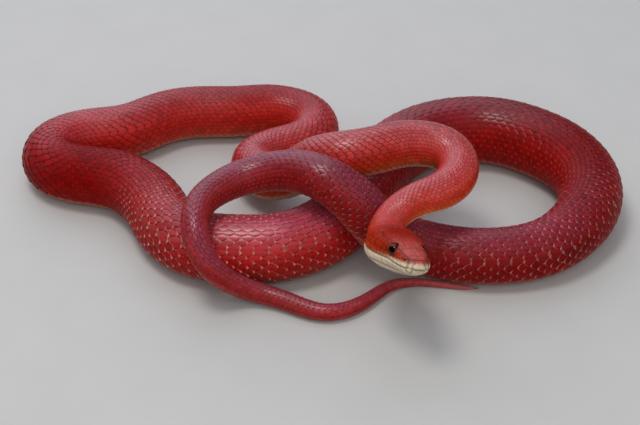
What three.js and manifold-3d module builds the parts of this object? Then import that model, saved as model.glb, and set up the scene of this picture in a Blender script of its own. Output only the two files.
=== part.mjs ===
// A still, life-size corn snake, coiled with its head raised over its own coils.
// Millimetres, +Z up, floor at z = 0. The body is a loft along one smooth route.
import * as THREE from "three";
import { mergeVertices } from "three/addons/utils/BufferGeometryUtils.js";
import Module from "manifold-3d";

const wasm = await Module();
wasm.setup();

// Driving sizes of the body
const girth = [
  // distance behind the nape, width of the body there
  [0, 17.7],
  [18, 16.2],
  [60, 19],
  [105, 22.6],
  [200, 23.3],
  [300, 27],
  [400, 28.4],
  [500, 31],
  [600, 32.6],
  [700, 33.8],
  [755, 34.4],
  [800, 31.4],
  [850, 27.2],
  [900, 25.8],
  [950, 22.8],
  [1000, 18.4],
  [1050, 13.2],
  [1100, 9.8],
  [1150, 7.2],
  [1195, 3.2],
  [1215, 1.6],
];
const heightShare = 0.98; // height of the body over its width
const napeHeightShare = 0.8; // the same where the head begins
const napeBlend = 45; // length over which the nape becomes body
const bellyCut = 0.05; // share of the height that the flat belly takes off
const nodeGap = 0.3; // clear space between two neighbouring nodes

// Belly scutes, coarser and fewer than in life
const scutePitch = 10.5;
const scuteStep = 0.35; // how far a scute's front lies under the one before
const scuteRise = 0.35; // share of a scute that its front takes to come down
const scuteHalfAngle = 62; // degrees each side of the middle of the belly

// Angles of a ring's corners, from the middle of the belly round to the back
const ringAngles = [0, 25, 45, scuteHalfAngle, 82, 105, 130, 155, 180];

// Route of the belly line, head to tail: x, y and lift over the floor
const neckRoute = [
  [55, -107.5, 45],
  [21.5, -69.5, 30],
  [38.5, -55.5, 42],
  [53, -49, 37.5],
  [68, -28.5, 33.5],
  [63.5, -9, 36.5],
];
const upperCoil = [
  [40, -6, 36.5],
  [24, -18, 37.5],
  [-0.5, -15, 33],
  [-7, -1, 17],
  [-24.5, 1.5, 6.5],
];
const backHairpin = [
  [-37, 21, 4],
  [-25.5, 37.5, 0],
  [-2, 43.5, 0],
  [-0.5, 67.5, 0],
  [-25, 77, 0],
];
const leftLoop = [
  [-43.5, 71, 0],
  [-64, 72.3, 0],
  [-84, 67, 0],
  [-100, 50.5, 0],
  [-120, 50, 0],
  [-139.5, 38, 0],
  [-136.5, 17, 0],
  [-113, 11, 0],
  [-96.5, 8, 0],
  [-79, -12.5, 0],
];
const frontCoil = [
  [-75, -30, 0],
  [-60, -46.5, 0],
  [-40, -48.5, 0],
  [-19, -49.5, 0],
  [-1, -40, 0],
  [13, -24.5, 0],
  [20.5, -6.5, 0],
];
const rightLoop = [
  [28, 13, 0],
  [37.5, 30.5, 0],
  [52.5, 44.5, 0],
  [72.5, 51, 0],
  [93.5, 49.5, 0],
  [111.5, 38.5, 0],
  [126.5, 25, 0],
  [135, 5, 0],
  [132.5, -15.5, 0],
  [121.5, -33, 0],
  [106.5, -46.5, 0],
  [86, -51.5, 0],
  [66, -51, 0],
];
const archOverCoil = [
  [46, -43, 0],
  [30, -48, 12],
  [17.5, -46, 30.5],
  [1.5, -39.5, 41],
  [-16, -26, 36],
  [-36.5, -25, 32],
  [-53.5, -39.5, 32.5],
  [-58.5, -59, 33.5],
];
const tailRoute = [
  [-52, -75.5, 19.5],
  [-35.5, -67.5, 1],
  [-16.5, -72, 0],
  [2, -85, 0],
  [21.5, -75, 0],
  [33, -57, 0],
  [55.5, -57.5, 0],
  [73.5, -63, 0],
  [100, -50, 0],
];
const route = [
  ...neckRoute,
  ...upperCoil,
  ...backHairpin,
  ...leftLoop,
  ...frontCoil,
  ...rightLoop,
  ...archOverCoil,
  ...tailRoute,
].map((p) => new THREE.Vector3(...p));

// Where one node ends and the next begins, behind the nape
const lengths = [
  ["neck", 95],
  ["trunk_1", 205],
  ["trunk_2", 320],
  ["trunk_3", 430],
  ["trunk_4", 545],
  ["trunk_5", 655],
  ["trunk_6", 765],
  ["trunk_7", 880],
  ["trunk_8", 1005],
  ["tail_1", 1105],
  ["tail_2", Infinity],
];

// Pose of the head: turned towards the viewer, lifted a little and leaning
const headPlace = new THREE.Vector3(28.7, -76.5, 34.5); // under the back of the head
const headYaw = THREE.MathUtils.degToRad(-70.7);
const headPitch = THREE.MathUtils.degToRad(20);
const headRoll = THREE.MathUtils.degToRad(-16.5);

// Smooth value between the stations of a table of pairs
function between(table, at) {
  const last = table.length - 1;
  if (at <= table[0][0]) return table[0][1];
  if (at >= table[last][0]) return table[last][1];
  const k = table.findIndex((row) => row[0] > at) - 1;
  const [x0, y0] = table[k];
  const [x1, y1] = table[k + 1];
  const slopeAt = (i) => {
    const a = table[Math.max(i - 1, 0)];
    const b = table[Math.min(i + 1, last)];
    return (b[1] - a[1]) / (b[0] - a[0]);
  };
  const span = x1 - x0;
  const t = (at - x0) / span;
  const h = t * t * (3 - 2 * t);
  return (
    y0 +
    (y1 - y0) * h +
    slopeAt(k) * span * t * (1 - t) * (1 - t) -
    slopeAt(k + 1) * span * t * t * (1 - t)
  );
}

// Point of the uniform cubic spline that the route's points pull into shape
function onRoute(t) {
  const k = Math.min(Math.floor(t), route.length - 4);
  const f = t - k;
  const weights = [
    (1 - f) ** 3,
    3 * f ** 3 - 6 * f ** 2 + 4,
    -3 * f ** 3 + 3 * f ** 2 + 3 * f + 1,
    f ** 3,
  ];
  const p = new THREE.Vector3();
  weights.forEach((w, i) => p.addScaledVector(route[k + i], w / 6));
  return p;
}

const smooth = (t) => {
  const c = THREE.MathUtils.clamp(t, 0, 1);
  return c * c * (3 - 2 * c);
};
const widthAt = (s) => between(girth, s);
const heightAt = (s) =>
  widthAt(s) * THREE.MathUtils.lerp(napeHeightShare, heightShare, smooth(s / napeBlend));

// Head's own axes: forward, left and up
const forward = new THREE.Vector3(
  Math.cos(headYaw) * Math.cos(headPitch),
  Math.sin(headYaw) * Math.cos(headPitch),
  Math.sin(headPitch),
);
const level = new THREE.Vector3(-Math.sin(headYaw), Math.cos(headYaw), 0);
const headLeft = level
  .clone()
  .multiplyScalar(Math.cos(headRoll))
  .addScaledVector(new THREE.Vector3().crossVectors(forward, level), Math.sin(headRoll));
const headUp = new THREE.Vector3().crossVectors(forward, headLeft);

// Middle of the head's back face, where the body starts
const headScale = 1.1;
const backOfHead = { underside: 0.4, top: 12.6, halfWidth: 8 };
const backMiddle = (headScale * (backOfHead.underside + backOfHead.top)) / 2;
const nape = headPlace.clone().addScaledVector(headUp, backMiddle);
const napeReach = 30; // length over which the route closes on the nape

// Walk the route once for the length of the body at each step
const walkSteps = 3000;
const walk = [];
let napeShift;
for (let i = 0, s = 0; i <= walkSteps; i++) {
  const point = onRoute(((route.length - 3) * i) / walkSteps);
  point.z += heightAt(s) / 2;
  if (i === 0) napeShift = nape.clone().sub(point);
  point.addScaledVector(napeShift, 1 - smooth(s / napeReach));
  if (i > 0) s += point.distanceTo(walk[i - 1].point);
  walk.push({ point, s });
}
const bodyLength = walk[walkSteps].s;

function axisAt(s) {
  let low = 0;
  let high = walkSteps;
  while (high - low > 1) {
    const middle = (low + high) >> 1;
    if (walk[middle].s > s) high = middle;
    else low = middle;
  }
  const a = walk[low];
  const b = walk[high];
  return a.point.clone().lerp(b.point, (s - a.s) / (b.s - a.s));
}

// Middle, left and up of the body's section; the head's lean fades along the neck
const tangentReach = 1.5;
const squareReach = 12; // the first sections turn from the head's back face
function frameAt(s) {
  const from = axisAt(Math.max(s - tangentReach, 0));
  const to = axisAt(Math.min(s + tangentReach, bodyLength));
  const square = smooth(s / squareReach);
  const back = forward.clone().negate().lerp(to.sub(from).normalize(), square).normalize();
  const up = new THREE.Vector3(0, 0, 1).lerp(headUp, 1 - smooth(s / napeBlend));
  const left = new THREE.Vector3().crossVectors(back, up).normalize();
  return {
    middle: axisAt(s),
    left,
    up: new THREE.Vector3().crossVectors(left, back).normalize(),
  };
}

// Corner of the loaf-shaped section: across and up, from the section's middle
function loaf(angle, width, height) {
  const cut = bellyCut * height;
  const round = (height * (1 - Math.cos(angle))) / 2;
  const tall = (Math.max(round - cut, 0) * height) / (height - cut);
  return [(Math.sin(angle) * width) / 2, tall - height / 2];
}

const degrees = (a) => THREE.MathUtils.degToRad(a);
const fullRing = [
  ...ringAngles,
  ...ringAngles
    .slice(1, -1)
    .reverse()
    .map((a) => 360 - a),
];

// One ring of corners; tuck lifts the belly scute's front edge into the body
function ring(s, tuck) {
  const { middle, left, up } = frameAt(s);
  const width = widthAt(s);
  const height = heightAt(s);
  const depth = Math.min(tuck, 0.04 * width);
  return fullRing.map((a) => {
    const fromBelly = Math.min(a, 360 - a);
    const [across, rise] = loaf(degrees(a), width, height);
    const shrink = fromBelly <= scuteHalfAngle ? 1 - (2 * depth) / width : 1;
    return middle
      .clone()
      .addScaledVector(left, across * shrink)
      .addScaledVector(up, rise * shrink);
  });
}

// Closed loft through rings, with a fan over each end
function loft(rings) {
  const n = rings[0].length;
  const positions = rings.flat().flatMap((p) => p.toArray());
  const index = [];
  for (let i = 0; i + 1 < rings.length; i++)
    for (let j = 0; j < n; j++) {
      const a = i * n + j;
      const b = i * n + ((j + 1) % n);
      index.push(a, b, b + n, a, b + n, a + n);
    }
  const last = (rings.length - 1) * n;
  for (let j = 1; j + 1 < n; j++) {
    index.push(0, j + 1, j);
    index.push(last, last + j, last + j + 1);
  }
  const geometry = new THREE.BufferGeometry();
  geometry.setAttribute("position", new THREE.Float32BufferAttribute(positions, 3));
  geometry.setIndex(index);
  return geometry;
}

const solid = (geometry) =>
  new wasm.Manifold(
    new wasm.Mesh({
      numProp: 3,
      vertProperties: new Float32Array(geometry.getAttribute("position").array),
      triVerts: new Uint32Array(geometry.index.array),
    }),
  );

function geometryOf(manifold) {
  const mesh = manifold.getMesh();
  const geometry = new THREE.BufferGeometry();
  const corners = new Float32Array(mesh.numVert * 3);
  for (let i = 0; i < mesh.numVert; i++)
    corners.set(mesh.vertProperties.subarray(i * mesh.numProp, i * mesh.numProp + 3), i * 3);
  geometry.setAttribute("position", new THREE.BufferAttribute(corners, 3));
  geometry.setIndex(new THREE.BufferAttribute(mesh.triVerts, 1));
  return geometry;
}

// A length of body between two places, its belly stepped into scutes
function bodyLengthSolid(from, to) {
  const count = Math.max(2, Math.round((to - from) / scutePitch));
  const pitch = (to - from) / count;
  const rings = [ring(from, 0)];
  for (let i = 0; i < count; i++) {
    const start = from + i * pitch;
    if (i > 0) rings.push(ring(start + nodeGap, scuteStep));
    rings.push(ring(start + scuteRise * pitch, 0));
    rings.push(ring(start + pitch, 0));
  }
  return loft(rings.reverse());
}

// Head sizes in its own axes: x forward from its back, y left, z up from under the jaw
const headStations = [
  // x, half width, height of the widest place, underside, top, squareness above and below
  [0, backOfHead.halfWidth, 6.5, backOfHead.underside, backOfHead.top, 2, 2],
  [2, 9.4, 6, -0.7, 12.8, 2.1, 2],
  [5, 11, 5, -1.8, 13, 2.2, 2],
  [8, 11.8, 4.5, -2.4, 13, 2.3, 2.1],
  [11, 11.8, 4.3, -2.6, 12.8, 2.4, 2.1],
  [14, 11.1, 4.2, -2.6, 12.5, 2.5, 2.2],
  [17, 10.1, 4.2, -2.4, 12.1, 2.6, 2.2],
  [20, 9, 4.4, -2, 11.6, 2.7, 2.2],
  [23, 8, 4.8, -1.5, 11.1, 2.8, 2.2],
  [26, 7.2, 4.9, -0.9, 10.5, 2.8, 2.2],
  [29, 6.6, 5, -0.2, 9.7, 2.8, 2.2],
  [31.5, 6.1, 5, 0.5, 9, 2.7, 2.2],
  [33.5, 5.5, 5, 1.2, 8.3, 2.6, 2.1],
  [35, 4.6, 5, 2, 7.6, 2.5, 2.1],
  [36, 3.4, 5, 2.8, 6.9, 2.4, 2],
  [36.5, 2.2, 5, 3.5, 6.3, 2.2, 2],
];
const mouthLine = [
  // x, height of the line of the mouth
  [4.2, 6.6],
  [7, 5.6],
  [11, 4.7],
  [16, 4.3],
  [22, 4.4],
  [28, 4],
  [33, 4],
  [38, 4.2],
];
const eyePlace = { x: 23.4, y: 5.45, z: 7.8 };
const eyeRadius = 2.7;
const nostril = { x: 33.2, y: 5.2, z: 6.9, radius: 0.6 };
const headSides = 24;
const plateRise = 0.3; // how far a head plate stands over the skin between plates
const plateGap = 0.4; // width of the line between two plates
const wide = 20; // beyond every part of the head

function headRing([x, half, wideHeight, low, high, topPower, lowPower], rise) {
  const points = [];
  for (let j = 0; j < headSides; j++) {
    const angle = (2 * Math.PI * j) / headSides;
    const across = Math.sin(angle);
    const upward = -Math.cos(angle);
    const power = 2 / (upward > 0 ? topPower : lowPower);
    const reach = upward > 0 ? high + rise - wideHeight : wideHeight - low + rise;
    points.push(
      new THREE.Vector3(
        x,
        Math.sign(across) * Math.abs(across) ** power * (half + rise),
        wideHeight + Math.sign(upward) * Math.abs(upward) ** power * reach,
      ),
    );
  }
  return points;
}

// The head's solid, raised all round by the given height
function headShape(rise) {
  const rings = headStations.map((station) => headRing(station, rise));
  for (const p of rings.at(-1)) p.x += rise;
  return solid(loft(rings));
}

function solidOf(positions, index) {
  const geometry = new THREE.BufferGeometry();
  geometry.setAttribute("position", new THREE.Float32BufferAttribute(positions, 3));
  geometry.setIndex(index);
  return solid(geometry);
}

// Prism of an outline: from and to are its two ends along the axis that place() leaves out
function prism(outline, from, to, place) {
  const flat = outline.map(([u, v]) => new THREE.Vector2(u, v));
  if (THREE.ShapeUtils.isClockWise(flat)) flat.reverse();
  const n = flat.length;
  const positions = [from, to].flatMap((end) => flat.flatMap((p) => place(p.x, p.y, end)));
  const index = [];
  for (const [a, b, c] of THREE.ShapeUtils.triangulateShape(flat, []))
    index.push(a, c, b, a + n, b + n, c + n);
  for (let i = 0; i < n; i++) {
    const j = (i + 1) % n;
    index.push(i, j, i + n, j, j + n, i + n);
  }
  const [ax, ay, az] = [place(1, 0, 0), place(0, 1, 0), place(0, 0, 1)].map(
    (v) => new THREE.Vector3(...v),
  );
  if (ax.cross(ay).dot(az) < 0)
    for (let i = 0; i < index.length; i += 3)
      [index[i + 1], index[i + 2]] = [index[i + 2], index[i + 1]];
  return solidOf(positions, index);
}
const fromSide = (x, z, y) => [x, y, z];
const fromAbove = (x, y, z) => [x, y, z];
const fromFront = (y, z, x) => [x, y, z];

// An outline drawn in on all sides, so that two plates leave a line between them
function drawnIn(outline, by) {
  const flat = outline.map(([u, v]) => new THREE.Vector2(u, v));
  const turn = THREE.ShapeUtils.isClockWise(flat) ? -1 : 1;
  return flat.map((p, i) => {
    const before = flat[(i + flat.length - 1) % flat.length];
    const after = flat[(i + 1) % flat.length];
    const a = p.clone().sub(before).normalize();
    const b = after.clone().sub(p).normalize();
    const inward = new THREE.Vector2(-(a.y + b.y), a.x + b.x).normalize().multiplyScalar(turn);
    const slant = Math.max(0.5, inward.x * -a.y * turn + inward.y * a.x * turn);
    return [p.x + (inward.x * by) / slant, p.y + (inward.y * by) / slant];
  });
}

// Plates on top of the head, seen from above: x, y, on the left side
const middlePlates = {
  frontal: [
    [27.6, 2.5],
    [20.5, 1.7],
    [18.6, 0],
    [20.5, -1.7],
    [27.6, -2.5],
  ],
};
const topPlates = {
  internasal: [
    [35.8, 0],
    [35, 2.6],
    [33, 3.7],
    [32.4, 0],
  ],
  prefrontal: [
    [32.4, 0],
    [33, 3.7],
    [30.6, 5],
    [27.8, 5],
    [27.6, 0],
  ],
  supraocular: [
    [27.6, 2.5],
    [27.8, 5],
    [24.5, 6.1],
    [20.6, 6.2],
    [20.5, 1.7],
  ],
  parietal: [
    [18.6, 0],
    [20.5, 1.7],
    [20.6, 6.2],
    [15.5, 7.4],
    [10.5, 6],
    [9, 2.2],
    [9.8, 0],
  ],
};
// Plates on the side of the head: x, z
const sidePlates = {
  nasal: [
    [35.2, 4.9],
    [34.6, 6.9],
    [32.4, 7.9],
    [31.6, 6.2],
  ],
  loreal: [
    [31.6, 6.2],
    [32.2, 8],
    [28.6, 8.6],
    [28.4, 6.2],
  ],
  preocular: [
    [28.4, 6.2],
    [28.6, 8.6],
    [26.6, 9.4],
    [26.7, 6.4],
  ],
  upperPostocular: [
    [20.6, 8.2],
    [20.8, 9.9],
    [18.6, 9.6],
    [18.8, 7.9],
  ],
  lowerPostocular: [
    [20.6, 6.6],
    [20.6, 8.2],
    [18.8, 7.9],
    [18.9, 6.8],
  ],
  frontTemporal: [
    [18.8, 7.2],
    [18.6, 9.5],
    [13.4, 10],
    [13.2, 7.6],
  ],
  upperTemporal: [
    [13.4, 8.8],
    [13.4, 10.6],
    [8.6, 11],
    [8.4, 8.9],
  ],
  lowerTemporal: [
    [13.2, 6.8],
    [13.4, 8.8],
    [8.4, 8.9],
    [8, 7.2],
  ],
};
// Where one lip plate ends and the next begins, from the snout back
const upperLip = [34.9, 32.4, 29.7, 26.8, 23.6, 20.4, 16.6, 12.2, 7.4];
const lowerLip = [34.4, 32, 29.4, 26.6, 23.4, 19.8, 15.6, 11, 6.6];
const lipTop = 6.3;
const lipTopAtBack = 7.4;
const lipFoot = 1.5; // lower edge of the lower lip plates
const lipClear = 0.25; // bare edge along the mouth

const mouthAt = (x) => between(mouthLine, x);
const plateFloor = 4; // a plate's prism starts this far out from the head's middle
const platePrisms = [];
const raise = (outline, from, to, place) =>
  platePrisms.push(prism(drawnIn(outline, plateGap / 2), from, to, place));

for (const outline of Object.values(middlePlates)) raise(outline, plateFloor, wide, fromAbove);
for (const outline of Object.values(topPlates))
  for (const side of [1, -1])
    raise(
      outline.map(([x, y]) => [x, y * side]),
      plateFloor,
      wide,
      fromAbove,
    );

const sideReach = 2.6; // side plates start this far from the head's middle
const sidePlate = (outline) => {
  raise(outline, sideReach, wide, fromSide);
  raise(outline, -wide, -sideReach, fromSide);
};
Object.values(sidePlates).forEach(sidePlate);
for (let i = 0; i + 1 < upperLip.length; i++) {
  const [x0, x1] = [upperLip[i], upperLip[i + 1]];
  const top = (x) => THREE.MathUtils.mapLinear(x, 34, 8, lipTop, lipTopAtBack);
  sidePlate([
    [x0, mouthAt(x0) + lipClear],
    [x0, top(x0)],
    [x1, top(x1)],
    [x1, mouthAt(x1) + lipClear],
  ]);
}
for (let i = 0; i + 1 < lowerLip.length; i++) {
  const [x0, x1] = [lowerLip[i], lowerLip[i + 1]];
  sidePlate([
    [x0, lipFoot],
    [x0, mouthAt(x0) - lipClear],
    [x1, mouthAt(x1) - lipClear],
    [x1, lipFoot],
  ]);
}
// Rostral plate at the tip of the snout and mental plate under it: y, z
const noseReach = 34.9;
raise(
  [
    [-2.7, mouthAt(37) + lipClear],
    [2.7, mouthAt(37) + lipClear],
    [1.4, 7.4],
    [-1.4, 7.4],
  ],
  noseReach,
  40,
  fromFront,
);
raise(
  [
    [-2, 1],
    [2, 1],
    [2.4, mouthAt(37) - lipClear],
    [-2.4, mouthAt(37) - lipClear],
  ],
  noseReach - 1,
  40,
  fromFront,
);

const plates = wasm.Manifold.union(platePrisms).intersect(headShape(plateRise));
const wholeHead = headShape(0).add(plates);

const halfGap = nodeGap / (2 * headScale);
const jawBack = mouthLine[0][0];
const snoutFront = 40;
const belowJaw = -5;
const jawBlock = prism(
  [[jawBack, belowJaw], [snoutFront, belowJaw]].concat(
    mouthLine.map(([x, z]) => [x, z - halfGap]).reverse(),
  ),
  -wide,
  wide,
  fromSide,
);
const roomBack = jawBack - 2 * halfGap;
const jawRoom = prism(
  [[roomBack, belowJaw], [snoutFront, belowJaw]].concat(
    mouthLine.map(([x, z]) => [x, z + halfGap]).reverse(),
    [[roomBack, mouthLine[0][1] + halfGap]],
  ),
  -wide,
  wide,
  fromSide,
);

function ball(radius, detail) {
  const geometry = new THREE.IcosahedronGeometry(radius, detail);
  geometry.deleteAttribute("normal");
  geometry.deleteAttribute("uv");
  return solid(mergeVertices(geometry, 1e-3));
}
const eyeAt = (side) => [eyePlace.x, side * eyePlace.y, eyePlace.z];
const socket = (side) => ball(eyeRadius + nodeGap / headScale, 2).translate(eyeAt(side));
const eyeBall = (side) => ball(eyeRadius, 3).translate(eyeAt(side));
const nostrilHole = (side) =>
  ball(nostril.radius, 1).translate([nostril.x, side * nostril.y, nostril.z]);

const upperHead = [1, -1].reduce(
  (head, side) => head.subtract(socket(side)).subtract(nostrilHole(side)),
  wholeHead.subtract(jawRoom),
);
const lowerJaw = wholeHead.intersect(jawBlock);

// From the head's own axes to the model
const headMatrix = new THREE.Matrix4()
  .makeBasis(forward, headLeft, headUp)
  .setPosition(headPlace)
  .multiply(new THREE.Matrix4().makeScale(headScale, headScale, headScale));

const model = new THREE.Group();
const skinColour = 0x8c1f1c;
const jawColour = 0xcdb98a;
const eyeColour = 0x1c0d0b;

function addNode(name, geometry, color, roughness) {
  const material = new THREE.MeshStandardMaterial({ color, roughness });
  const mesh = new THREE.Mesh(geometry, material);
  mesh.name = name;
  model.add(mesh);
  return mesh;
}

addNode("head", geometryOf(upperHead).applyMatrix4(headMatrix), skinColour, 0.35);
addNode("lower_jaw", geometryOf(lowerJaw).applyMatrix4(headMatrix), jawColour, 0.4);
addNode("eye_left", geometryOf(eyeBall(1)).applyMatrix4(headMatrix), eyeColour, 0.05);
addNode("eye_right", geometryOf(eyeBall(-1)).applyMatrix4(headMatrix), eyeColour, 0.05);

let start = nodeGap / 2;
for (const [name, end] of lengths) {
  const stop = Math.min(end, bodyLength) - nodeGap / 2;
  addNode(name, bodyLengthSolid(start, stop), skinColour, 0.35);
  start = stop + nodeGap;
}

// The floor plan's middle becomes the origin
const box = new THREE.Box3().setFromObject(model);
const centre = box.getCenter(new THREE.Vector3());
for (const mesh of model.children) mesh.geometry.translate(-centre.x, -centre.y, 0);

export default model;
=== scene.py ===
import math

import bpy
import numpy as np
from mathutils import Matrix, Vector


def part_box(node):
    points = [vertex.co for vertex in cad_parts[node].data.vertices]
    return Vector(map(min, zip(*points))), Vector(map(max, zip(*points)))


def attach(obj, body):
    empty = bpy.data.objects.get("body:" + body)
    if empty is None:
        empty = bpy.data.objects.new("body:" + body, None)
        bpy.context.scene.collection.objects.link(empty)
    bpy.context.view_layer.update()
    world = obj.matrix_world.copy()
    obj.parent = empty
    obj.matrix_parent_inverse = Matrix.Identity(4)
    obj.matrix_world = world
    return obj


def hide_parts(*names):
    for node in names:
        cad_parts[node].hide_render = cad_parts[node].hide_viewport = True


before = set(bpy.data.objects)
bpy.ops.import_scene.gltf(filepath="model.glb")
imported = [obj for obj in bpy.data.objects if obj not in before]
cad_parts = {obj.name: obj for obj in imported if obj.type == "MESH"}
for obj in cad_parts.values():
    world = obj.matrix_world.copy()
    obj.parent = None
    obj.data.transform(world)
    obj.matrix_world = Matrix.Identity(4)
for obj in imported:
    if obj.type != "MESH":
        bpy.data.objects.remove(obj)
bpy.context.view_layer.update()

mm = 0.001  # everything below is worked out in millimetres and made in metres
rng = np.random.default_rng(1250)

# The body: its width along its length, and the route of its belly line
bodyForm = {
    "width": [
        (0, 17.7), (18, 16.2), (60, 19), (105, 22.6), (200, 23.3), (300, 27), (400, 28.4),
        (500, 31), (600, 32.6), (700, 33.8), (755, 34.4), (800, 31.4), (850, 27.2),
        (900, 25.8), (950, 22.8), (1000, 18.4), (1050, 13.2), (1100, 9.8), (1150, 7.2),
        (1195, 3.2), (1207, 2.3), (1215, 0.8),
    ],
    "heightShare": 0.98,
    "napeHeightShare": 0.8,
    "napeBlend": 45,
    "napeReach": 30,
    "squareReach": 12,
    "slopeReach": 1.5,  # each way along the middle line, for its direction
    "bellyCut": 0.05,
    "vent": 1008,  # where the tail begins
    "route": [
        # neck
        (55, -107.5, 45), (21.5, -69.5, 30), (38.5, -55.5, 42), (53, -49, 37.5),
        (68, -28.5, 33.5), (63.5, -9, 36.5),
        # upper coil
        (40, -6, 36.5), (24, -18, 37.5), (-0.5, -15, 33), (-7, -1, 17), (-24.5, 1.5, 6.5),
        # hairpin at the back
        (-37, 21, 4), (-25.5, 37.5, 0), (-2, 43.5, 0), (-0.5, 67.5, 0), (-25, 77, 0),
        # left loop
        (-43.5, 71, 0), (-64, 72.3, 0), (-84, 67, 0), (-100, 50.5, 0), (-120, 50, 0),
        (-139.5, 38, 0), (-136.5, 17, 0), (-113, 11, 0), (-96.5, 8, 0), (-79, -12.5, 0),
        # front coil
        (-75, -30, 0), (-60, -46.5, 0), (-40, -48.5, 0), (-19, -49.5, 0), (-1, -40, 0),
        (13, -24.5, 0), (20.5, -6.5, 0),
        # right loop
        (28, 13, 0), (37.5, 30.5, 0), (52.5, 44.5, 0), (72.5, 51, 0), (93.5, 49.5, 0),
        (111.5, 38.5, 0), (126.5, 25, 0), (135, 5, 0), (132.5, -15.5, 0), (121.5, -33, 0),
        (106.5, -46.5, 0), (86, -51.5, 0), (66, -51, 0),
        # arch over the coil
        (46, -43, 0), (30, -48, 12), (17.5, -46, 30.5), (1.5, -39.5, 41), (-16, -26, 36),
        (-36.5, -25, 32), (-53.5, -39.5, 32.5), (-58.5, -59, 33.5),
        # tail
        (-52, -75.5, 19.5), (-35.5, -67.5, 1), (-16.5, -72, 0), (2, -85, 0), (21.5, -75, 0),
        (33, -57, 0), (55.5, -57.5, 0), (73.5, -63, 0), (100, -50, 0),
    ],
}

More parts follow.
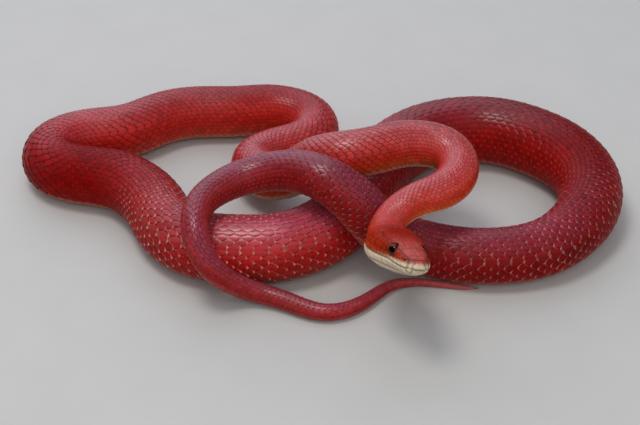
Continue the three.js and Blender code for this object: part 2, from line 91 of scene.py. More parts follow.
# The head: its pose and its sections, x forward from its back, y left, z up
headForm = {
    "place": (28.7, -76.5, 34.5),
    "yaw": -70.7,
    "pitch": 20,
    "roll": -16.5,
    "scale": 1.1,
    "stations": [
        # x, half width, height of the widest place, underside, top, squareness above, below
        (0, 8, 6.5, 0.4, 12.6, 2, 2), (2, 9.4, 6, -0.7, 12.8, 2.1, 2),
        (5, 11, 5, -1.8, 13, 2.2, 2), (8, 11.8, 4.5, -2.4, 13, 2.3, 2.1),
        (11, 11.8, 4.3, -2.6, 12.8, 2.4, 2.1), (14, 11.1, 4.2, -2.6, 12.5, 2.5, 2.2),
        (17, 10.1, 4.2, -2.4, 12.1, 2.6, 2.2), (20, 9, 4.4, -2, 11.6, 2.7, 2.2),
        (23, 8, 4.8, -1.5, 11.1, 2.8, 2.2), (26, 7.2, 4.9, -0.9, 10.5, 2.8, 2.2),
        (29, 6.6, 5, -0.2, 9.7, 2.8, 2.2), (31.5, 6.1, 5, 0.5, 9, 2.7, 2.2),
        (33.5, 5.5, 5, 1.2, 8.3, 2.6, 2.1), (35, 4.6, 5, 2, 7.6, 2.5, 2.1),
        (36, 3.4, 5, 2.8, 6.9, 2.4, 2), (36.5, 2.2, 5, 3.5, 6.3, 2.2, 2),
    ],
    "snoutRound": 0.45,  # how far the tip of the snout bulges past the last section
    "gridFront": 36.4,  # where the grid for the scales begins
    "evenFrom": 6,  # in front of this, points are spaced evenly round a section
    "mouth": [(4.2, 6.6), (7, 5.6), (11, 4.7), (16, 4.3), (22, 4.4), (28, 4), (33, 4), (38, 4.2)],
    "mouthEnd": (3.6, 1.5),  # where the mouth ends at the back, and how softly
    "mouthDepth": 0.38,
    "mouthWidth": 0.22,
    "mouthGrooveShade": 0.42,
    "lipFull": (0.14, 0.9, 0.6),  # rise of the lips, distance from the mouth's line, breadth
    "eye": (23.4, 5.45, 7.8),
    "eyeRadius": 2.7,
    "eyeShown": 1.05,  # angle from the pupil's middle to the rim that shows
    "orbit": (6.3, 4.0, 2.4, 0.8),  # height of its middle, reach along and up, depth
    # the ring of small scales: distance from the ball, breadth, rise, notches, how many
    "eyeRing": (0.32, 0.26, 0.2, 0.1, 12),
    # brow, and the dip in front of the eye: place, reach along and up, rise
    "mounds": [(23.9, 10.9, 2.6, 0.7, 0.16), (29.5, 7.4, 2.0, 0.9, -0.25)],
    "nostril": (33.2, 6.9),
    "nostrilSize": 0.5,
    "nostrilShape": (1.3, 0.8, 1.0, 0.06),  # reach along and up, depth, rise of its rim
    "plateRise": 0.17,
    "plateGap": 0.09,
    "plateRound": 0.2,
    "lipClear": 0.22,
    # plates on top, x and y on the left side
    "topPlates": {
        "frontal": [(27.6, 2.5), (20.5, 1.7), (18.6, 0), (20.5, -1.7), (27.6, -2.5)],
        "internasal": [(35.3, 0), (34.6, 2.4), (33, 3.7), (32.4, 0)],
        "prefrontal": [(32.4, 0), (33, 3.7), (30.6, 5), (27.8, 5), (27.6, 0)],
        "supraocular": [(27.6, 2.5), (27.8, 5), (24.5, 6.1), (20.6, 6.2), (20.5, 1.7)],
        "parietal": [
            (18.6, 0), (20.5, 1.7), (20.6, 6.2), (15.5, 7.4), (10.5, 6), (9, 2.2), (9.8, 0),
        ],
    },
    # plates on the side, x and z
    "sidePlates": {
        "nasal": [(35.2, 4.9), (34.6, 6.9), (32.4, 7.9), (31.6, 6.2)],
        "loreal": [(31.6, 6.2), (32.2, 8), (28.6, 8.6), (28.4, 6.2)],
        "preocular": [(28.4, 6.2), (28.6, 8.6), (26.6, 9.4), (26.7, 6.4)],
        "upperPostocular": [(20.3, 8.4), (20.8, 10.6), (18.6, 10.6), (18.8, 8.2)],
        "lowerPostocular": [(20.9, 6.6), (20.3, 8.4), (18.8, 8.2), (18.9, 6.8)],
        "frontTemporal": [(18.8, 9.0), (18.6, 10.6), (14.2, 11), (14.0, 9.2)],
        "lowFrontTemporal": [(18.9, 6.9), (18.8, 9.0), (14.0, 9.2), (13.4, 7.1)],
        "upperTemporal": [(14.0, 9.2), (14.2, 11), (11.2, 11.6), (10.8, 9.4)],
        "midTemporal": [(13.4, 7.1), (14.0, 9.2), (10.8, 9.4), (10.4, 7.3)],
        "rearUpperTemporal": [(10.8, 9.4), (11.2, 11.6), (8.6, 11.6), (8.4, 9.5)],
        "rearLowerTemporal": [(10.4, 7.3), (10.8, 9.4), (8.4, 9.5), (8, 7.4)],
    },
    # plates under the chin, x and y on the left side
    "chinPlates": {
        "frontShield": [(32.6, 0), (33, 1.6), (29, 3.2), (25.2, 2.9), (24.6, 0)],
        "rearShield": [(24.4, 0.5), (25, 2.9), (20.5, 4.1), (17, 3.2), (18, 1.2)],
    },
    "upperLip": [34.9, 32.4, 29.7, 26.8, 23.6, 20.4, 16.6, 12.2, 7.4],
    "lowerLip": [34.4, 32, 29.4, 26.6, 23.4, 19.8, 15.6, 11, 6.6],
    "lipTop": (6.3, 7.4),
    "lipFoot": 1.5,
    "paleTo": [(5, 5.4), (12, 4.5), (20, 4.8), (27, 5.5), (33, 6.0), (37, 6.3)],  # height of the pale lips
    "paleFade": 3.4,
    "rostral": [(-2.7, 4.35), (2.7, 4.35), (1.4, 7.4), (-1.4, 7.4)],
    "mental": [(-2, 1), (2, 1), (2.4, 3.85), (-2.4, 3.85)],
}


def smooth(t):
    c = np.clip(t, 0, 1)
    return c * c * (3 - 2 * c)


def between(table, at):  # smooth value between the stations of a table
    xs = np.array([row[0] for row in table], float)
    ys = np.array([row[1] for row in table], float)
    slopes = np.empty(len(xs))
    slopes[1:-1] = (ys[2:] - ys[:-2]) / (xs[2:] - xs[:-2])
    slopes[0] = (ys[1] - ys[0]) / (xs[1] - xs[0])
    slopes[-1] = (ys[-1] - ys[-2]) / (xs[-1] - xs[-2])
    at = np.clip(np.asarray(at, float), xs[0], xs[-1])
    k = np.clip(np.searchsorted(xs, at, side="right") - 1, 0, len(xs) - 2)
    span = xs[k + 1] - xs[k]
    t = (at - xs[k]) / span
    rise = t * t * (3 - 2 * t)
    return (ys[k] + (ys[k + 1] - ys[k]) * rise + slopes[k] * span * t * (1 - t) ** 2
            - slopes[k + 1] * span * t * t * (1 - t))


def unit(v):
    return v / np.maximum(np.linalg.norm(v, axis=-1, keepdims=True), 1e-12)


def widthAt(s):
    return between(bodyForm["width"], s)


def heightAt(s):
    low, full = bodyForm["napeHeightShare"], bodyForm["heightShare"]
    return widthAt(s) * (low + (full - low) * smooth(np.asarray(s) / bodyForm["napeBlend"]))


# The head's own axes
yaw, pitch, roll = (math.radians(headForm[k]) for k in ("yaw", "pitch", "roll"))
forward = np.array([math.cos(yaw) * math.cos(pitch), math.sin(yaw) * math.cos(pitch), math.sin(pitch)])
level = np.array([-math.sin(yaw), math.cos(yaw), 0])
headLeft = level * math.cos(roll) + np.cross(forward, level) * math.sin(roll)
headUp = np.cross(forward, headLeft)
headPlace = np.array(headForm["place"], float)
headScale = headForm["scale"]
napeLow, napeTop = headForm["stations"][0][3:5]
nape = headPlace + headUp * headScale * (napeLow + napeTop) / 2


def toModel(p):  # from the head's own axes to the route's
    q = np.asarray(p) * headScale
    return headPlace + q[..., :1] * forward + q[..., 1:2] * headLeft + q[..., 2:3] * headUp


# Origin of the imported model: the eyes are at the same place in both
eyeX, eyeY, eyeZ = headForm["eye"]
eyeInRoute = [toModel((eyeX, side * eyeY, eyeZ)) for side in (1, -1)]
eyeBoxes = [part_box(name) for name in ("eye_left", "eye_right")]
eyeInFrame = [np.array((Vector(b[0]) + Vector(b[1])) / 2) / mm for b in eyeBoxes]
origin = (eyeInRoute[0] - eyeInFrame[0] + eyeInRoute[1] - eyeInFrame[1]) / 2
print("model origin in the route's own plan", origin.round(3))


def walkRoute(steps=3000):  # middle line of the body, and the length behind the nape at each step
    pull = np.array(bodyForm["route"], float)
    t = (len(pull) - 3) * np.arange(steps + 1) / steps
    k = np.minimum(np.floor(t).astype(int), len(pull) - 4)
    f = (t - k)[:, None]
    weights = [(1 - f) ** 3, 3 * f ** 3 - 6 * f ** 2 + 4, -3 * f ** 3 + 3 * f ** 2 + 3 * f + 1, f ** 3]
    line = sum(w * pull[k + i] for i, w in enumerate(weights)) / 6
    lengths = np.zeros(steps + 1)
    s = 0.0
    for i in range(steps + 1):
        line[i, 2] += float(heightAt(s)) / 2
        if i == 0:
            shift = nape - line[0]
        line[i] += shift * (1 - float(smooth(s / bodyForm["napeReach"])))
        if i:
            s += float(np.linalg.norm(line[i] - line[i - 1]))
        lengths[i] = s
    return line, lengths


bodyLine, bodyLengths = walkRoute()
bodyLength = bodyLengths[-1]
print("body behind the nape", round(bodyLength, 1), "mm")


def axisAt(s):
    s = np.clip(s, 0, bodyLength)
    return np.stack([np.interp(s, bodyLengths, bodyLine[:, i]) for i in range(3)], -1)


def bodyRings(s, turns):  # points of the body's sections: s along, turns from 0 at the belly to 1
    s = np.asarray(s, float)
    run = unit(axisAt(s + bodyForm["slopeReach"]) - axisAt(s - bodyForm["slopeReach"]))
    square = smooth(s / bodyForm["squareReach"])[:, None]
    back = unit(-forward * (1 - square) + run * square)
    lean = (1 - smooth(s / bodyForm["napeBlend"]))[:, None]
    up = np.array([0, 0, 1.0]) * (1 - lean) + headUp * lean
    left = unit(np.cross(back, up))
    up = unit(np.cross(left, back))
    width, height = widthAt(s)[:, None], heightAt(s)[:, None]
    angle = 2 * np.pi * np.asarray(turns)
    cut = bodyForm["bellyCut"] * height
    tall = np.maximum(height * (1 - np.cos(angle)) / 2 - cut, 0) * height / (height - cut)
    across = np.sin(angle) * width / 2
    return (axisAt(s)[:, None, :] + left[:, None, :] * across[..., None]
            + up[:, None, :] * (tall - height / 2)[..., None])


def headRings(x, turns):  # the same on the head, x forward from its back, past the last section too
    stations = headForm["stations"]
    last = stations[-1][0]
    past = np.clip((np.asarray(x, float) - last) / headForm["snoutRound"], 0, 1)
    close = np.sqrt(np.maximum(1 - past ** 2, 0))[:, None]
    half, wideAt, low, high, above, below = (
        between([(row[0], row[i]) for row in stations], x)[:, None] for i in range(1, 7))
    middle = (low + high) / 2
    fine = 720
    angle = 2 * np.pi * np.arange(fine + 1) / fine
    across, upward = np.sin(angle), -np.cos(angle)
    power = np.where(upward > 0, 2 / above, 2 / below)
    reach = np.where(upward > 0, high - wideAt, wideAt - low)
    y = np.sign(across) * np.abs(across) ** power * half * close
    z = wideAt + np.sign(upward) * np.abs(upward) ** power * reach
    z = middle + (z - middle) * close
    # even spacing round the section, which turns into even angles at the nape
    step = np.hypot(np.diff(y, axis=1), np.diff(z, axis=1))
    gone = np.concatenate([np.zeros((len(y), 1)), np.cumsum(step, axis=1)], axis=1)
    gone /= np.maximum(gone[:, -1:], 1e-9)
    even = smooth(np.asarray(x) / headForm["evenFrom"])
    points = np.empty((len(y), len(turns), 3))
    for i in range(len(y)):
        share = even[i] * gone[i] + (1 - even[i]) * angle / (2 * np.pi)
        points[i, :, 0] = x[i]
        points[i, :, 1] = np.interp(turns, share, y[i])
        points[i, :, 2] = np.interp(turns, share, z[i])
    return points


# One even grid over the whole snake, for placing scales: rows every half millimetre
gridStep = 0.5
gridTurns = 128
headEnd = -headForm["gridFront"] * headScale
gridS = np.arange(headEnd, bodyLength, gridStep)
turnsOf = np.arange(gridTurns) / gridTurns
onHead = gridS < 0
grid = np.concatenate([
    toModel(headRings(-gridS[onHead] / headScale, turnsOf)),
    bodyRings(gridS[~onHead], turnsOf),
])
# the inner side of the bend behind the head is eased, so that it doesn't crease
bend = {"from": -5.4, "to": 42, "spread": 5.0, "window": 24, "fadeIn": 6, "fadeOut": 16}
eased = np.zeros_like(grid)
spread = np.arange(-bend["window"], bend["window"] + 1)
shares = np.exp(-0.5 * (spread * gridStep / bend["spread"]) ** 2)
for offset, share in zip(spread, shares / shares.sum()):
    eased += share * grid[np.clip(np.arange(len(grid)) + offset, 0, len(grid) - 1)]
ease = smooth((gridS - bend["from"]) / bend["fadeIn"]) * smooth((bend["to"] - gridS) / bend["fadeOut"])
grid += (eased - grid) * ease[:, None, None]
alongStep = np.gradient(grid, gridStep, axis=0)
roundStep = (np.roll(grid, -1, axis=1) - np.roll(grid, 1, axis=1)) * gridTurns / 2
gridOut = unit(np.cross(alongStep, roundStep))
gridStretch = np.linalg.norm(alongStep, axis=2)
gridGirth = np.linalg.norm(roundStep, axis=2)
print("grid over the snake", grid.shape)


def onSnake(s, turn, *fields):  # values of the grid at any place on the snake
    i = np.clip((s - gridS[0]) / gridStep, 0, len(gridS) - 1.001)
    j = (turn % 1) * gridTurns
    i0, j0 = i.astype(int), j.astype(int) % gridTurns
    j1 = (j0 + 1) % gridTurns
    fi, fj = i - i0, j - np.floor(j)
    made = []
    for field in fields:
        a, b = (fi[..., None], fj[..., None]) if field.ndim == 3 else (fi, fj)
        made.append((field[i0, j0] * (1 - a) + field[i0 + 1, j0] * a) * (1 - b)
                    + (field[i0, j1] * (1 - a) + field[i0 + 1, j1] * a) * b)
    return made


wholeLength = bodyLength - headEnd


def alongAt(s):  # place along the snake, from 0 at the snout to 1 at the tip of the tail
    return (s - headEnd) / wholeLength


def heightRound(turn):  # place round the snake, from 0 under the belly to 1 on the back
    return 1 - np.abs(1 - 2 * turn)


# Where each piece's patch lies on the unwrapped skin
unwrap = {"share": 0.99, "margin": 0.005, "patch": 0.003}
fineStep = 0.25  # for counting scales along the body


def unwrapAlong(s):
    return alongAt(s) * unwrap["share"] + unwrap["margin"]


def makePiece(name, points, faces, values, material, uv=None):  # values: what the colours are read from
    mesh = bpy.data.meshes.new(name)
    points = (np.asarray(points) - origin) * mm
    faces = np.asarray(faces)
    mesh.vertices.add(len(points))
    mesh.vertices.foreach_set("co", points.astype(np.float32).ravel())
    mesh.loops.add(faces.size)
    mesh.loops.foreach_set("vertex_index", faces.astype(np.int32).ravel())
    mesh.polygons.add(len(faces))
    mesh.polygons.foreach_set("loop_start", np.arange(0, faces.size, 3, dtype=np.int32))
    mesh.update(calc_edges=True)
    mesh.polygons.foreach_set("use_smooth", np.ones(len(faces), bool))
    for key, numbers in values.items():
        layer = mesh.attributes.new(key, "FLOAT", "POINT")
        layer.data.foreach_set("value", np.asarray(numbers, np.float32).ravel())
    if uv is not None:
        layer = mesh.uv_layers.new(name="OFBake")
        layer.data.foreach_set("uv", np.asarray(uv, np.float32)[faces.ravel()].ravel())
    mesh.materials.append(material)
    mesh.validate(clean_customdata=False)
    piece = bpy.data.objects.new(name, mesh)
    bpy.context.scene.collection.objects.link(piece)
    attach(piece, "root")
    print(name, len(faces), "triangles")
    return piece


# Materials
class Wiring:  # short way to place and join nodes
    def __init__(self, tree):
        self.tree = tree

    def fill(self, sockets, values):
        for key, value in values.items():
            if isinstance(value, bpy.types.NodeSocket):
                self.tree.links.new(value, sockets[key])
            else:
                sockets[key].default_value = value

    def node(self, kind, output, inputs, **settings):  # a new node, and what is read from it
        made = self.tree.nodes.new(kind)
        for key, value in settings.items():
            setattr(made, key, value)
        self.fill(made.inputs, inputs)
        return made.outputs[output]

    def math(self, operation, a, b, clamp=False):
        return self.node("ShaderNodeMath", 0, {0: a, 1: b}, operation=operation, use_clamp=clamp)

    def times(self, a, b, clamp=False):
        return self.math("MULTIPLY", a, b, clamp)

    def reading(self, key):
        return self.node("ShaderNodeAttribute", "Fac", {}, attribute_name=key)

    def mix(self, share, a, b):
        inputs = {"Factor": share, "A": a, "B": b}
        return self.node("ShaderNodeMix", "Result", inputs, data_type="RGBA", clamp_factor=True)

    def scaled(self, colour, tone):
        return self.node("ShaderNodeVectorMath", 0, {0: colour, "Scale": tone}, operation="SCALE")

    def rangeOf(self, value, low, high, toLow=0.0, toHigh=1.0, soft=True):
        inputs = dict(enumerate((value, low, high, toLow, toHigh)))
        kind = "SMOOTHSTEP" if soft else "LINEAR"
        return self.node("ShaderNodeMapRange", "Result", inputs, interpolation_type=kind)

    def noise(self, scale, detail=3.0, rough=0.5):
        where = self.node("ShaderNodeTexCoord", "Object", {})
        inputs = {"Vector": where, "Scale": scale, "Detail": detail, "Roughness": rough}
        return self.node("ShaderNodeTexNoise", "Fac", inputs)

    def wander(self, value, reach, *noise):  # a value led up and down by noise
        drift = self.math("SUBTRACT", self.noise(*noise), 0.5)
        return self.math("ADD", value, self.times(drift, reach))

    def ramp(self, value, stops):
        made = self.node("ShaderNodeValToRGB", "Color", {"Fac": value})
        ends = made.node.color_ramp.elements
        while len(ends) < len(stops):
            ends.new(0.5)
        for end, (at, colour) in zip(ends, stops):
            end.position = at
            end.color = colour
        return made


def shade(red, green, blue):  # a colour as the eye reads it, 0 to 255
    def linear(c):
        c /= 255
        return c / 12.92 if c <= 0.04045 else ((c + 0.055) / 1.055) ** 2.4
    return (linear(red), linear(green), linear(blue), 1.0)


colours = {
    # along the snake, from the snout (0) to the tip of the tail (1)
    # the back's own red, with the pink of the snout and the purple on the coils' tops painted in as
    # reflection of the sky
    "back": [
        (0.0, (186, 82, 76)), (0.011, (180, 66, 58)), (0.018, (152, 28, 12)), (0.028, (152, 30, 14)),
        (0.036, (182, 50, 46)), (0.06, (156, 34, 38)), (0.15, (154, 28, 34)), (0.22, (148, 28, 34)),
        (0.28, (130, 16, 20)), (0.34, (158, 32, 42)), (0.39, (122, 6, 9)), (0.44, (134, 16, 26)),
        (0.48, (160, 46, 74)), (0.54, (132, 22, 36)), (0.61, (122, 18, 32)), (0.66, (104, 4, 6)),
        (0.71, (124, 26, 46)), (0.78, (116, 26, 50)), (0.84, (116, 28, 58)), (0.89, (124, 26, 48)),
        (0.96, (134, 30, 46)), (0.985, (158, 60, 64)), (1.0, (184, 100, 98)),
    ],
    # lighter and darker from coil to coil as painted light and shade, for how each coil faces the light, over
    # the flank's own red
    "flank": [
        (0.0, (158, 58, 34)), (0.015, (156, 40, 14)), (0.03, (176, 40, 14)), (0.06, (202, 46, 14)),
        (0.15, (188, 26, 10)), (0.22, (176, 22, 14)), (0.28, (184, 34, 26)), (0.33, (176, 26, 18)),
        (0.37, (132, 4, 3)), (0.42, (134, 5, 4)), (0.475, (172, 16, 12)), (0.55, (146, 8, 6)),
        (0.62, (146, 12, 8)), (0.67, (140, 9, 6)), (0.7, (114, 4, 4)), (0.74, (124, 6, 6)),
        (0.82, (138, 10, 14)), (0.88, (150, 24, 28)), (0.96, (152, 30, 34)), (0.985, (166, 62, 62)),
        (1.0, (184, 100, 96)),
    ],
    # the same painted light and shade from coil to coil, over the lower rows' own orange
    "low": [  # the lowest rows of the flank
        (0.0, (176, 90, 56)), (0.02, (184, 92, 50)), (0.04, (214, 98, 50)), (0.08, (214, 84, 34)),
        (0.2, (206, 64, 30)), (0.33, (190, 58, 44)), (0.37, (140, 16, 8)), (0.43, (150, 22, 14)),
        (0.48, (170, 42, 34)), (0.6, (150, 20, 12)), (0.66, (150, 18, 12)), (0.74, (128, 16, 12)),
        (0.85, (160, 48, 46)), (1.0, (170, 80, 74)),
    ],
    "belly": [
        (0.0, (206, 192, 158)), (0.05, (212, 190, 160)), (0.1, (222, 178, 146)), (0.2, (206, 130, 100)),
        (0.45, (170, 66, 48)), (0.8, (166, 60, 48)), (1.0, (150, 60, 56)),
    ],
    # how glossy the back is
    "sheen": [
        (0.0, 1.0), (0.011, 1.0), (0.016, 0.1), (0.028, 0.08), (0.05, 0.8), (0.1, 1.0), (0.2, 0.9),
        (0.26, 0.45), (0.3, 0.6), (0.34, 1.0), (0.375, 0.08), (0.42, 0.1), (0.47, 1.0), (0.54, 0.7),
        (0.61, 0.7), (0.65, 0.02), (0.69, 0.05), (0.73, 0.5), (0.8, 0.9), (0.9, 0.8), (1.0, 0.6),
    ],
    "lip": (226, 206, 176),
    # painted highlight, pale pink, on the middle of the scales on the top of the body
    "crestHighlight": (222, 108, 112),  # on the middle of a scale
    "paleMark": (232, 158, 146),  # on the rear rim of a scale
    # painted shade for the gaps between scales and plates, laid over the skin's own red
    "deep": (58, 7, 7),  # skin between the scales
}

markForm = {
    # where colours meet, from 0 under the belly to 1 on the back
    "lowEdge": (0.36, 0.58),
    "backEdge": (0.64, 0.95),
    "bellyEdge": (0.30, 0.38),
    "lipEdge": (0.12, 0.95),
    # how far such an edge wanders, how fine, with how much detail
    "backWander": (0.22, 55.0, 4.0, 0.55),
    "bellyWander": (0.05, 400.0, 2.0),
    "lipWander": (0.5, 900.0),
    # tone, from darkest to lightest
    "blotches": (0.82, 1.12),
    "mottling": (0.9, 1.08),
    "freckles": (0.34, -0.1),  # on the top of the head, as a share taken away
    "headReach": (0.024, 0.032),
    "gapShadeShare": 0.72,
    # gloss, and where the painted highlight on the middle of the scales falls, by the height round the body:
    # from, to, least, most
    "gloss": (0.5, 0.9, 0.04, 1.0),
    "topHighlight": (0.5, 0.85, 0.1, 1.0),
}


def snakeMarkings():  # one set of markings for the skin, the scales and the scutes
    f = markForm
    group = bpy.data.node_groups.new("snakeMarkings", "ShaderNodeTree")
    for label, kind in (("Colour", "Color"), ("ShadedGap", "Color"), ("Gloss", "Float"), ("HighlightedTop", "Float")):
        group.interface.new_socket(name=label, in_out="OUTPUT", socket_type="NodeSocket" + kind)
    out = group.nodes.new("NodeGroupOutput")
    w = Wiring(group)
    along, height = w.reading("along"), w.reading("fromBelly")
    stops = ([(at, shade(*c)) for at, c in colours[key]] for key in ("back", "flank", "low", "belly"))
    back, flank, low, belly = (w.ramp(along, part) for part in stops)
    edge = w.wander(height, *f["backWander"])
    flank = w.mix(w.rangeOf(edge, *f["lowEdge"]), low, flank)
    side = w.mix(w.rangeOf(edge, *f["backEdge"]), flank, back)
    whole = w.mix(w.rangeOf(w.wander(height, *f["bellyWander"]), *f["bellyEdge"]), belly, side)
    lipEdge = w.wander(w.reading("lip"), *f["lipWander"])
    whole = w.mix(w.rangeOf(lipEdge, *f["lipEdge"]), whole, shade(*colours["lip"]))
    tone = w.rangeOf(w.noise(28.0, 5.0, 0.6), 0.3, 0.7, *f["blotches"], soft=False)
    tone = w.times(tone, w.rangeOf(w.noise(1500.0, 2.0), 0.25, 0.75, *f["mottling"], soft=False))
    freckles = w.rangeOf(w.noise(1000.0, 4.0, 0.7), 0.38, 0.6, *f["freckles"])
    onHead = w.rangeOf(along, *f["headReach"], 1.0, 0.0)
    onHead = w.times(onHead, w.rangeOf(lipEdge, 0.1, 0.8, 1.0, 0.15))
    tone = w.times(tone, w.math("SUBTRACT", 1.0, w.times(freckles, onHead)))
    toned = w.scaled(whole, tone)
    sheen = w.ramp(along, [(at, (v, v, v, 1.0)) for at, v in colours["sheen"]])
    # the shaded gap colour: the skin's own colour darkened as painted shade for gaps, walls and seams
    deep = w.mix(f["gapShadeShare"], toned, shade(*colours["deep"]))
    gloss = w.times(w.rangeOf(height, *f["gloss"]), sheen)
    topHighlight = w.rangeOf(edge, *f["topHighlight"])
    w.fill(out.inputs, {"Colour": toned, "ShadedGap": deep, "HighlightedTop": topHighlight, "Gloss": gloss})
    return group


markings = snakeMarkings()


def newMaterial(name, finish, looks):  # the finish is constant, and looks says what is joined to it
    material = bpy.data.materials.new(name)
    material.use_nodes = True
    w = Wiring(material.node_tree)
    w.fill(material.node_tree.nodes["Principled BSDF"].inputs, {**finish, **looks(w)})
    return material


def useMarkings(w):
    return w.node("ShaderNodeGroup", 0, {}, node_tree=markings).node.outputs


# roughness from and to, and how fine it varies; relief: strength, depth in metres, how fine, detail
grains = {
    "scale": (0.30, 0.44, 700.0, 0.25, 0.0001, 2600.0, 3.0),
    "skin": (0.34, 0.5, 600.0, 0.35, 0.00012, 1800.0, 4.0),
    "scute": (0.3, 0.42, 500.0, 0.2, 0.0001, 1500.0, 3.0),
}


def grainOf(w, kind):
    low, high, patches, strength, depth, fine, detail = grains[kind]
    relief = {"Strength": strength, "Distance": depth, "Height": w.noise(fine, detail)}
    return {"Roughness": w.rangeOf(w.noise(patches), 0.3, 0.7, low, high, soft=False),
            "Normal": w.node("ShaderNodeBump", "Normal", relief)}


scaleFinish = {"Specular IOR Level": 0.04, "IOR": 1.45, "Coat IOR": 1.5, "Coat Roughness": 0.3}
scaleShades = {
    "tones": (0.82, 1.14),  # from scale to scale
    # how far out on a scale each starts and is full, from 0 in its middle to 1 at its rim
    "rimShade": (0.1, 0.62),
    "crestHighlightSpot": (0.0, 0.26),
    "pale": (0.6, 0.9),
    "patchy": (0.6, 1.0),  # how strong the pale rims are, from place to place
    "paleWall": 0.6,
}


def scaleLooks(w):
    f = scaleShades
    marks = useMarkings(w)
    rim = w.reading("rim")
    colour = w.scaled(marks["Colour"], w.rangeOf(w.reading("tone"), 0.0, 1.0, *f["tones"], soft=False))
    # painted shade, darker towards the rim, then a fine pale rim and tip, strongest where the colour drifts
    # that way
    rimShade = w.times(w.rangeOf(rim, *f["rimShade"]), w.reading("rimShadeShare"))
    colour = w.mix(rimShade, colour, marks["ShadedGap"])
    # painted highlight: the middle of each scale on the top of the body is made pale pink
    crestHighlightSpot = w.times(w.rangeOf(rim, *f["crestHighlightSpot"], 1.0, 0.0), w.reading("crestHighlightShare"))
    colour = w.mix(w.times(crestHighlightSpot, marks["HighlightedTop"]), colour, shade(*colours["crestHighlight"]))
    patchy = w.rangeOf(w.noise(60.0), 0.38, 0.62, *f["patchy"])
    onRim = w.times(w.rangeOf(rim, *f["pale"]), w.reading("rimShare"))
    onTip = w.times(w.reading("tip"), w.reading("paleShare"))
    pale = w.times(w.math("MAXIMUM", onRim, onTip), patchy, clamp=True)
    colour = w.mix(pale, colour, shade(*colours["paleMark"]))
    # painted shade: the side walls take the shaded gap colour, less where the rim is pale
    wall = w.times(w.reading("side"), w.math("SUBTRACT", 1.0, w.times(pale, f["paleWall"])))
    colour = w.mix(wall, colour, marks["ShadedGap"])
    return {"Base Color": colour, "Coat Weight": marks["Gloss"], **grainOf(w, "scale")}


skinFinish = {"Specular IOR Level": 0.03, "IOR": 1.45, "Coat Roughness": 0.34}
skinShades = {"seamShade": 0.75, "gloss": 0.7}


def skinLooks(w):
    marks = useMarkings(w)
    # skin in the seams, in the mouth's groove and between the body's scales is mixed towards the shaded gap
    # colour, painted shade, and towards pale where that skin is pale
    between = w.mix(w.reading("paleSkin"), marks["ShadedGap"], shade(*colours["paleMark"]))
    colour = w.mix(w.times(w.reading("seamShade"), skinShades["seamShade"]), marks["Colour"], between)
    gloss = w.times(marks["Gloss"], skinShades["gloss"])
    return {"Base Color": colour, "Coat Weight": gloss, **grainOf(w, "skin")}


scuteFinish = {"Specular IOR Level": 0.3, "IOR": 1.45}
scuteShades = {"pale": (0.6, 1.0), "paleShare": 0.6}


def scuteLooks(w):
    marks = useMarkings(w)
    pale = w.times(w.rangeOf(w.reading("rim"), *scuteShades["pale"]), scuteShades["paleShare"])
    colour = w.mix(pale, marks["Colour"], shade(*colours["paleMark"]))
    # painted shade: the walls under the scutes' rear edges take the shaded gap colour
    return {"Base Color": w.mix(w.reading("side"), colour, marks["ShadedGap"]), **grainOf(w, "scute")}


eyeFinish = {
    "Roughness": 0.1, "IOR": 1.4, "Specular IOR Level": 0.2, "Coat Weight": 0.2, "Coat Roughness": 0.02,
}
eyeShades = {
    # colours, and where the pupil and the ring end on the way from the pupil's middle (0) to the rim (1)
    "pupil": (0.002, 0.001, 0.001, 1), "iris": (92, 26, 16), "irisRim": (40, 10, 7), "ring": (146, 62, 34),
    "pupilEdge": (0.55, 0.58), "ringEdges": ((0.57, 0.6), (0.62, 0.68)), "ringShare": 0.5,
    "rimEdge": (0.78, 1.0),
}


def eyeLooks(w):
    f = eyeShades
    away = w.reading("fromPupil")
    irisRim = shade(*f["irisRim"])
    iris = w.mix(w.rangeOf(w.noise(1400.0, 4.0, 0.6), 0.3, 0.7), shade(*f["iris"]), irisRim)
    iris = w.mix(w.rangeOf(away, *f["rimEdge"]), iris, irisRim)
    ring = w.math("SUBTRACT", *(w.rangeOf(away, *edge) for edge in f["ringEdges"]))
    iris = w.mix(w.times(ring, f["ringShare"]), iris, shade(*f["ring"]))
    return {"Base Color": w.mix(w.rangeOf(away, *f["pupilEdge"]), f["pupil"], iris)}


scaleLook = newMaterial("scaleSkin", scaleFinish, scaleLooks)
skinLook = newMaterial("softSkin", skinFinish, skinLooks)
scuteLook = newMaterial("bellyScute", scuteFinish, scuteLooks)
eyeLook = newMaterial("eyeGloss", eyeFinish, eyeLooks)


# The head's plates as a height over its skin
def insideOf(points, outline):  # distance to an outline, positive inside it
    corners = np.array(outline, float)
    best = np.full(len(points), 1e9)
    crossings = np.zeros(len(points), int)
    for a, b in zip(corners, np.roll(corners, -1, axis=0)):
        edge, away = b - a, points - a
        t = np.clip((away @ edge) / (edge @ edge), 0, 1)
        best = np.minimum(best, np.hypot(*(away - t[:, None] * edge).T))
        spans = (a[1] > points[:, 1]) != (b[1] > points[:, 1])
        with np.errstate(divide="ignore", invalid="ignore"):
            at = a[0] + (points[:, 1] - a[1]) * edge[0] / edge[1]
        crossings += spans & (points[:, 0] < at)
    return np.where(crossings % 2 == 1, best, -best)


